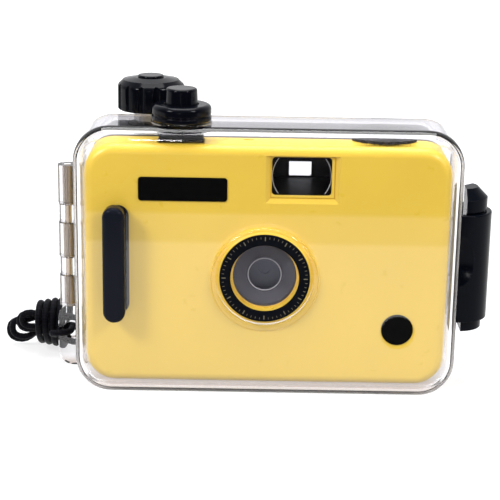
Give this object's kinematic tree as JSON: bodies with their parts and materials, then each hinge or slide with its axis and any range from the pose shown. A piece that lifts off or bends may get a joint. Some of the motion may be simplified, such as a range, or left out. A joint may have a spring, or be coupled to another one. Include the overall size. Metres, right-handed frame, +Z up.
{
  "type": "underwater film camera",
  "caption": "Simple 35 mm film camera inside a clear, hinged and latched dive case, with winding knob, shutter button, grip bar and wrist strap",
  "frame": {"origin": "on the flat underside of the case, under the front shell, midway between its sides", "axes": "+X to the right seen from the front, +Y towards the back, +Z up; the lens looks along -Y"},
  "size_m": [0.1631, 0.0568, 0.0988],
  "materials": {
    "clear_plastic": "clear moulded plastic, polished",
    "black_plastic": "black moulded plastic, satin",
    "dark_inner_plastic": "dark plastic inside the camera",
    "yellow_plastic": "yellow moulded plastic, satin",
    "plain_plate": "plain dark plate, no print",
    "white_plastic": "white moulded plastic",
    "seal_rubber": "pale silicone rubber",
    "steel": "bright steel",
    "lens_glass": "clear optical plastic",
    "strap_cord": "black woven cord"
  },
  "bodies": {
    "case": {"housing_back": "clear_plastic", "lens_label_ring": "black_plastic", "camera_back_door": "dark_inner_plastic", "film_chassis": "dark_inner_plastic", "lens_mount": "dark_inner_plastic", "aperture_plate": "dark_inner_plastic", "viewfinder_tunnel": "dark_inner_plastic", "pressure_plate": "dark_inner_plastic", "camera_front_cover": "yellow_plastic", "name_plate": "plain_plate", "badge_disc": "plain_plate", "knob_bushing": "white_plastic", "housing_seal": "seal_rubber", "knob_seal": "seal_rubber", "hinge_pin": "steel", "latch_pin": "steel", "release_spring": "steel", "pressure_spring": "steel", "camera_screws": "steel", "shutter_pin": "steel", "front_lens": "lens_glass", "rear_lens": "lens_glass", "viewfinder_window": "lens_glass", "viewfinder_eyepiece": "lens_glass", "strap_cord": "strap_cord", "strap_hank": "strap_cord", "strap_tie": "strap_cord"},
    "front_cover": {"housing_front": "clear_plastic", "grip_bar": "black_plastic", "grip_backing": "black_plastic", "button_collar": "black_plastic", "button_seal": "seal_rubber", "button_nut": "black_plastic", "button_spring": "steel"},
    "button": {"button_cap": "black_plastic", "button_plunger": "steel", "button_clip": "steel"},
    "latch": {"latch_lever": "black_plastic"},
    "lock": {"lock_slider": "black_plastic"},
    "knob": {"winding_knob": "black_plastic", "knob_cap": "black_plastic", "knob_shaft": "steel", "knob_clip": "steel"},
    "winder": {"winding_wheel": "dark_inner_plastic", "take_up_spool": "dark_inner_plastic"},
    "sprocket": {"film_sprocket": "dark_inner_plastic"},
    "counter": {"counter_dial": "white_plastic"},
    "rewind": {"rewind_knob": "dark_inner_plastic", "rewind_fork": "dark_inner_plastic"},
    "release": {"shutter_release": "dark_inner_plastic"},
    "blade": {"shutter_blade": "dark_inner_plastic"}
  },
  "joints": [
    {"name": "cover_swing", "type": "hinge", "parent": "case", "child": "front_cover", "pos_m": [-0.0649, 0.0021, 0.04675], "axis": [0, 0, -1], "range_deg": [0, 100]},
    {"name": "latch_swing", "type": "hinge", "parent": "case", "child": "latch", "pos_m": [0.0667, 0.0069, 0.04065], "axis": [0, 0, 1], "range_deg": [0, 100]},
    {"name": "lock_slide", "type": "slide", "parent": "latch", "child": "lock", "axis": [0, 0, 1], "range_m": [0, 0.003]},
    {"name": "button_press", "type": "slide", "parent": "front_cover", "child": "button", "axis": [0, 0, -1], "range_m": [0, 0.0022], "stiffness_N_per_m": 300, "springref_m": -0.0015, "deforming": ["button_spring"]},
    {"name": "release_press", "type": "slide", "parent": "case", "child": "release", "axis": [0, 0, -1], "range_m": [0, 0.0022], "deforming": ["release_spring"]},
    {"name": "shutter_swing", "type": "hinge", "parent": "case", "child": "blade", "pos_m": [0.0074, -0.0071, 0.0397], "axis": [0, 1, 0], "range_deg": [0, 42]},
    {"name": "knob_turn", "type": "hinge", "parent": "case", "child": "knob", "pos_m": [-0.0384, 0.01, 0.0929], "axis": [0, 0, 1], "continuous": true},
    {"name": "winder_turn", "type": "hinge", "parent": "case", "child": "winder", "pos_m": [-0.0384, 0.01, 0.0792], "axis": [0, 0, 1], "continuous": true},
    {"name": "sprocket_turn", "type": "hinge", "parent": "case", "child": "sprocket", "pos_m": [-0.027, 0.0046, 0.0387], "axis": [0, 0, 1], "continuous": true},
    {"name": "counter_turn", "type": "hinge", "parent": "case", "child": "counter", "pos_m": [-0.01, -0.006, 0.0792], "axis": [0, 0, 1], "continuous": true},
    {"name": "rewind_turn", "type": "hinge", "parent": "case", "child": "rewind", "pos_m": [0.0368, -0.003, 0.0822], "axis": [0, 0, 1], "continuous": true}
  ],
  "couplings": [
    {"joint": "release_press", "follows": "button_press", "ratio": 1},
    {"joint": "shutter_swing", "follows": "button_press", "rad_per_m": 333},
    {"joint": "winder_turn", "follows": "knob_turn", "ratio": 1},
    {"joint": "sprocket_turn", "follows": "knob_turn", "ratio": 0.71},
    {"joint": "counter_turn", "follows": "knob_turn", "ratio": -0.015}
  ]
}
